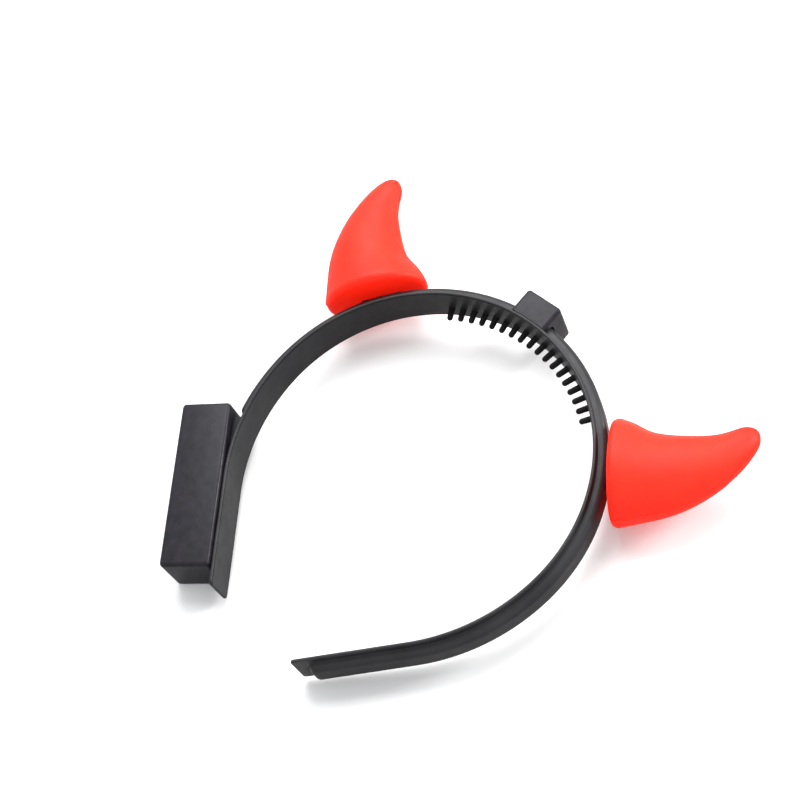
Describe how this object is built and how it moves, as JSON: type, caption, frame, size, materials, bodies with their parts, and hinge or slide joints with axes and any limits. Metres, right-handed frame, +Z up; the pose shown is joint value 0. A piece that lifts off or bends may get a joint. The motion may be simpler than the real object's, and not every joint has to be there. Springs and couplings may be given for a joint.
{
  "type": "devil horns headband",
  "caption": "Springy toothed hair band with two curved horns on its outer side, a small box at the crown and a battery case on the end of one arm.",
  "frame": {"origin": "centre of the bounding box, on the surface that the headband lies on", "axes": "the headband lies on its back: +X runs across the hoop towards the horn on the right when the front is seen with the crown away from the viewer, +Y from the open ends to the crown, +Z up out of the front. Its horns and battery case are deeper than the band, so the hoop's plane is about 2.7 degrees off level"},
  "size_m": [0.1878, 0.1752, 0.0319],
  "materials": {
    "band_black": "satin black moulded plastic",
    "case_black": "satin black moulded plastic, lightly scuffed",
    "seat_black": "matt black moulded plastic",
    "horn_red": "soft satin red plastic"
  },
  "bodies": {
    "root": {"headband": "band_black", "crown_box": "case_black", "battery_box": "case_black", "horn_seat_left": "seat_black", "horn_seat_right": "seat_black", "horn_left": "horn_red", "horn_right": "horn_red"}
  },
  "joints": []
}
